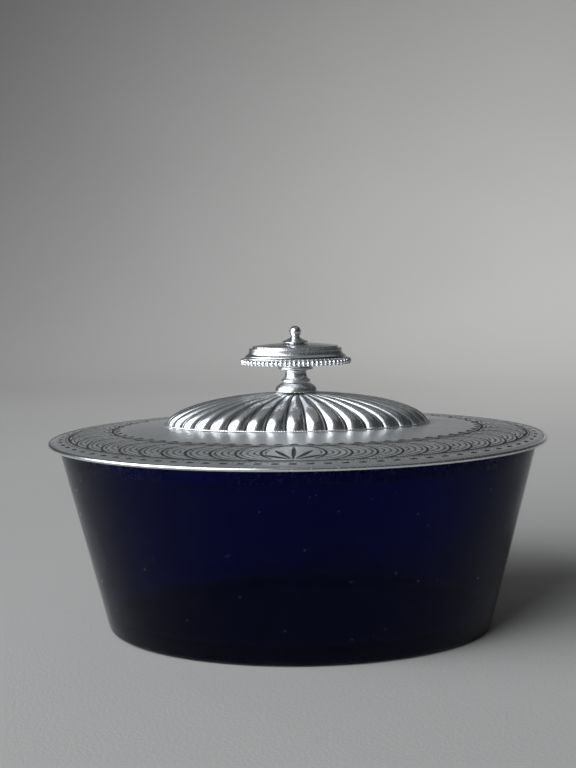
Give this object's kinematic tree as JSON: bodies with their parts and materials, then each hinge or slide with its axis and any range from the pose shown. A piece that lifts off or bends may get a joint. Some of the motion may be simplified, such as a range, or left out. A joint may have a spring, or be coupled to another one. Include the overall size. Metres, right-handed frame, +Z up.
{
  "type": "covered sugar bowl",
  "caption": "Oval sugar bowl: flared cobalt blue glass body with a lift-off silver-plated lid, gadrooned dome, engraved flange and beaded oval finial.",
  "frame": {"origin": "middle of the flat underside of the glass, on the table", "axes": "+X along the long axis of the oval, +Y along the short axis away from the viewer, +Z up"},
  "size_m": [0.15, 0.105, 0.0917],
  "materials": {
    "cobalt_glass": "deep cobalt blue pressed glass, fire-polished",
    "engraved_plate": "worn silver plate, bright-cut engraving with dark tarnish in the cuts",
    "plain_plate": "worn silver plate, polished on the high places, grey in the grooves",
    "bright_wire": "silver-plated wire, rubbed bright",
    "fixing_steel": "plain dull steel, turned and threaded"
  },
  "bodies": {
    "bowl": {"glass_bowl": "cobalt_glass"},
    "lid": {"lid_plate": "engraved_plate", "lid_rim_wire": "bright_wire", "lid_bezel": "plain_plate", "lid_dome": "plain_plate", "dome_bead_wire": "bright_wire", "finial_foot": "plain_plate", "finial_neck": "plain_plate", "finial_collar": "plain_plate", "finial_disc": "plain_plate", "finial_bead_ring": "bright_wire", "finial_cap": "plain_plate", "finial_knop": "plain_plate", "finial_stud": "fixing_steel", "finial_washer": "fixing_steel", "finial_nut": "fixing_steel"}
  },
  "joints": [
    {"name": "lid_lift", "type": "slide", "parent": "bowl", "child": "lid", "axis": [0, 0, 1], "range_m": [0, 0.08]}
  ]
}
